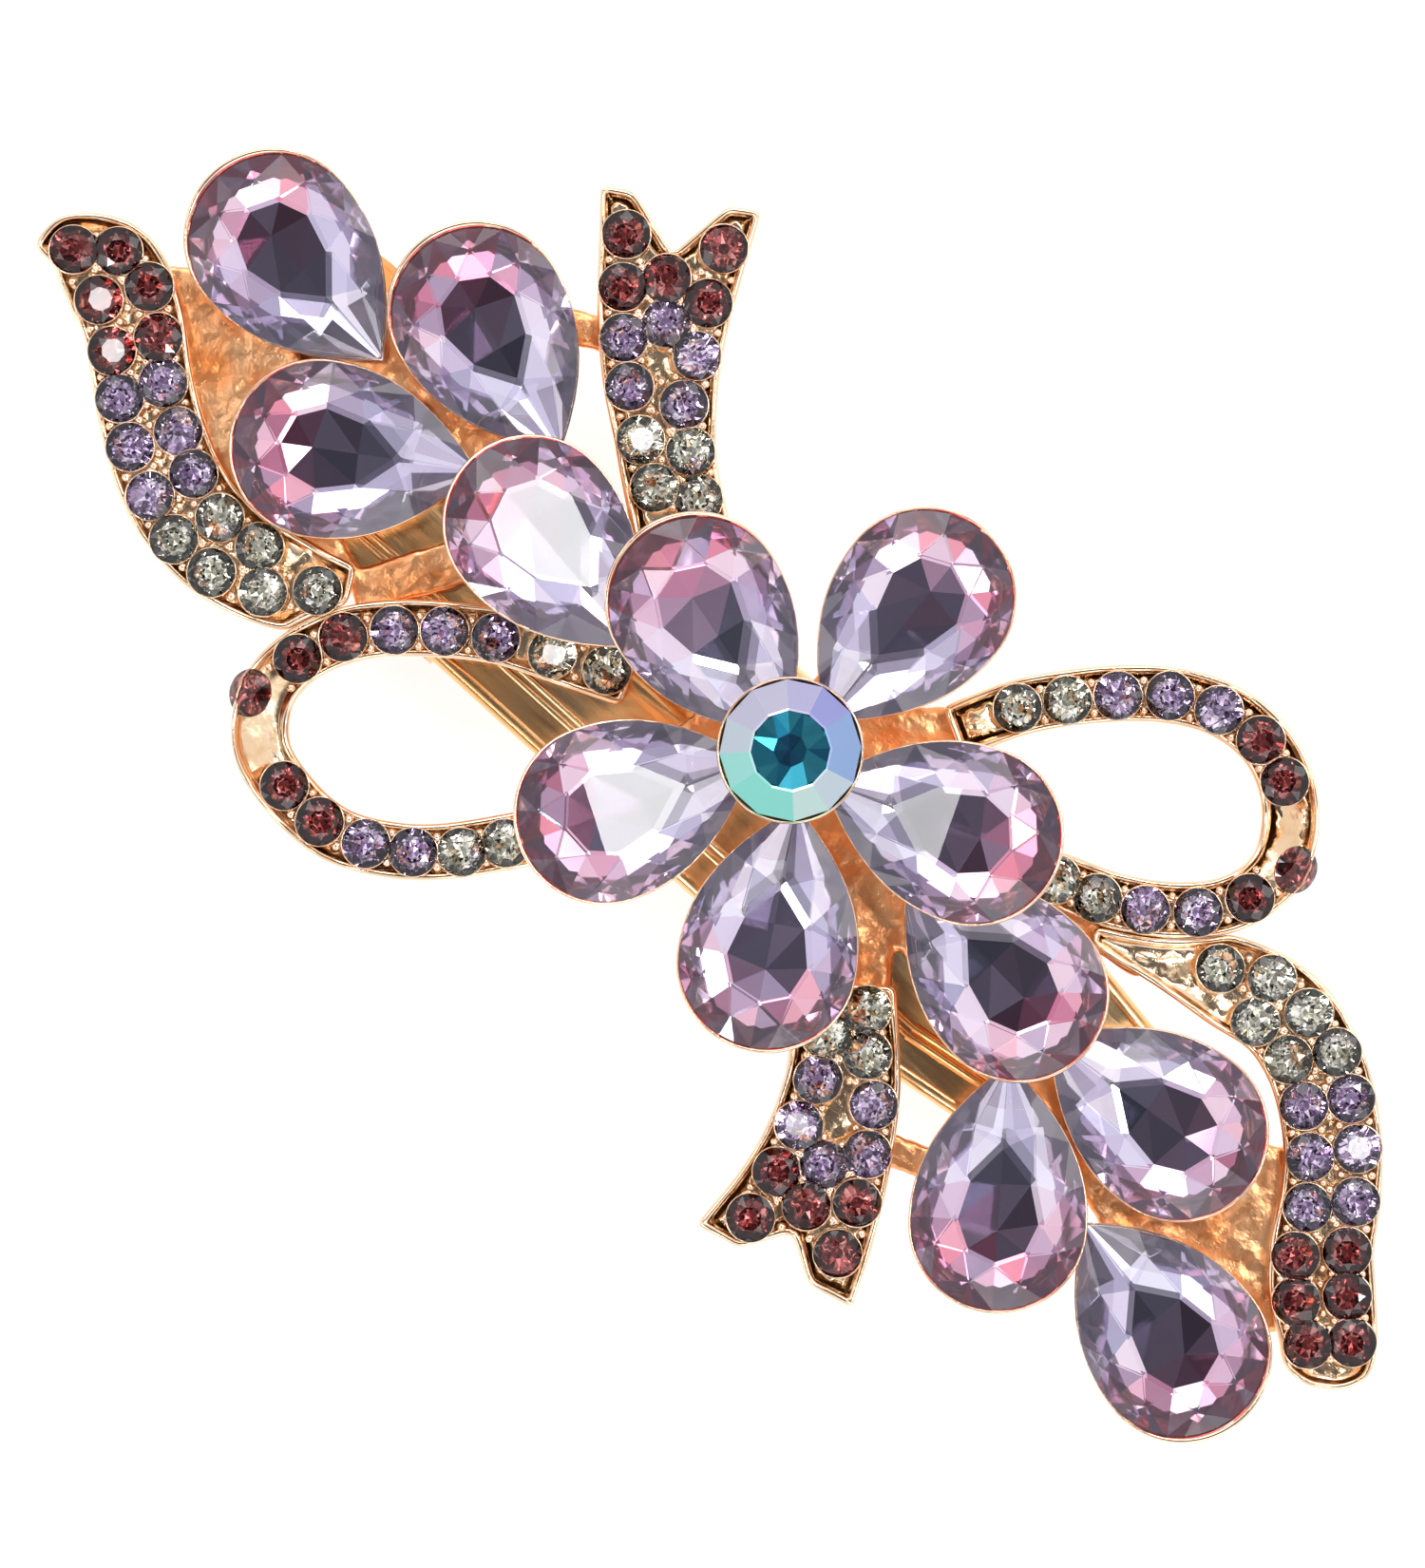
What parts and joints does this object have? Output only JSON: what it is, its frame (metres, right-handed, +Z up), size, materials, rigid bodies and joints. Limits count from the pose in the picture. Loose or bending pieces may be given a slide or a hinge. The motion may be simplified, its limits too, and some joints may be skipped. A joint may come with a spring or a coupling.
{
  "type": "hair clip",
  "caption": "Spring jaw hair clip; its top plate carries a cast gold-tone spray of lilac pear crystals, a five-petal flower and looped ribbons set with small stones.",
  "frame": {"origin": "middle of the outline, on the flat face under the jaw that the clip lies on", "axes": "+X along the clip from the finger pad to the jaw's mouth, +Y across it, +Z up through the flower"},
  "size_m": [0.1001, 0.0454, 0.0202],
  "materials": {
    "clip_gold": "bright gold-tone plating on stamped spring steel",
    "pin_steel": "plated pin",
    "spring_steel": "bare spring wire",
    "rose_gold": "polished rose-gold plating on cast alloy",
    "lilac_crystal": "faceted lilac crystal with a foiled back",
    "aurora_crystal": "faceted crystal with a rainbow coating",
    "burgundy_stone": "faceted dark red rhinestone, foiled back",
    "amethyst_stone": "faceted violet rhinestone, foiled back",
    "smoke_stone": "faceted grey-clear rhinestone, foiled back"
  },
  "bodies": {
    "ornament": {"clip_top_plate": "clip_gold", "hinge_pin": "pin_steel", "torsion_spring": "spring_steel", "stem": "rose_gold", "ribbon_leaf_1": "rose_gold", "ribbon_leaf_2": "rose_gold", "ribbon_tail_1": "rose_gold", "ribbon_tail_2": "rose_gold", "ribbon_loop_1": "rose_gold", "ribbon_loop_2": "rose_gold", "centre_crystal": "aurora_crystal", "centre_cup": "rose_gold", "crystal_petal_a": "lilac_crystal", "crystal_petal_b": "lilac_crystal", "crystal_petal_c": "lilac_crystal", "crystal_petal_d": "lilac_crystal", "crystal_petal_e": "lilac_crystal", "crystal_trail_1": "lilac_crystal", "crystal_trail_2": "lilac_crystal", "crystal_trail_3": "lilac_crystal", "crystal_trail_4": "lilac_crystal", "crystal_trail_5": "lilac_crystal", "crystal_trail_6": "lilac_crystal", "crystal_trail_7": "lilac_crystal", "crystal_trail_8": "lilac_crystal", "cup_petal_a": "rose_gold", "cup_petal_b": "rose_gold", "cup_petal_c": "rose_gold", "cup_petal_d": "rose_gold", "cup_petal_e": "rose_gold", "cup_trail_1": "rose_gold", "cup_trail_2": "rose_gold", "cup_trail_3": "rose_gold", "cup_trail_4": "rose_gold", "cup_trail_5": "rose_gold", "cup_trail_6": "rose_gold", "cup_trail_7": "rose_gold", "cup_trail_8": "rose_gold", "pave_leaf_1_burgundy": "burgundy_stone", "pave_leaf_1_amethyst": "amethyst_stone", "pave_leaf_1_smoke": "smoke_stone", "pave_leaf_2_burgundy": "burgundy_stone", "pave_leaf_2_amethyst": "amethyst_stone", "pave_leaf_2_smoke": "smoke_stone", "pave_tail_1_burgundy": "burgundy_stone", "pave_tail_1_amethyst": "amethyst_stone", "pave_tail_1_smoke": "smoke_stone", "pave_tail_2_burgundy": "burgundy_stone", "pave_tail_2_amethyst": "amethyst_stone", "pave_tail_2_smoke": "smoke_stone", "pave_loop_1_burgundy": "burgundy_stone", "pave_loop_1_amethyst": "amethyst_stone", "pave_loop_1_smoke": "smoke_stone", "pave_loop_2_burgundy": "burgundy_stone", "pave_loop_2_amethyst": "amethyst_stone", "pave_loop_2_smoke": "smoke_stone"},
    "jaw": {"clip_jaw": "clip_gold", "spring_leg": "spring_steel"}
  },
  "joints": [
    {"name": "jaw_hinge", "type": "hinge", "parent": "ornament", "child": "jaw", "pos_m": [-0.01857, -0.00206, 0.005], "axis": [0, 1, 0], "range_deg": [0, 16], "stiffness_Nm_per_rad": 0.12, "springref_deg": -51.57}
  ]
}
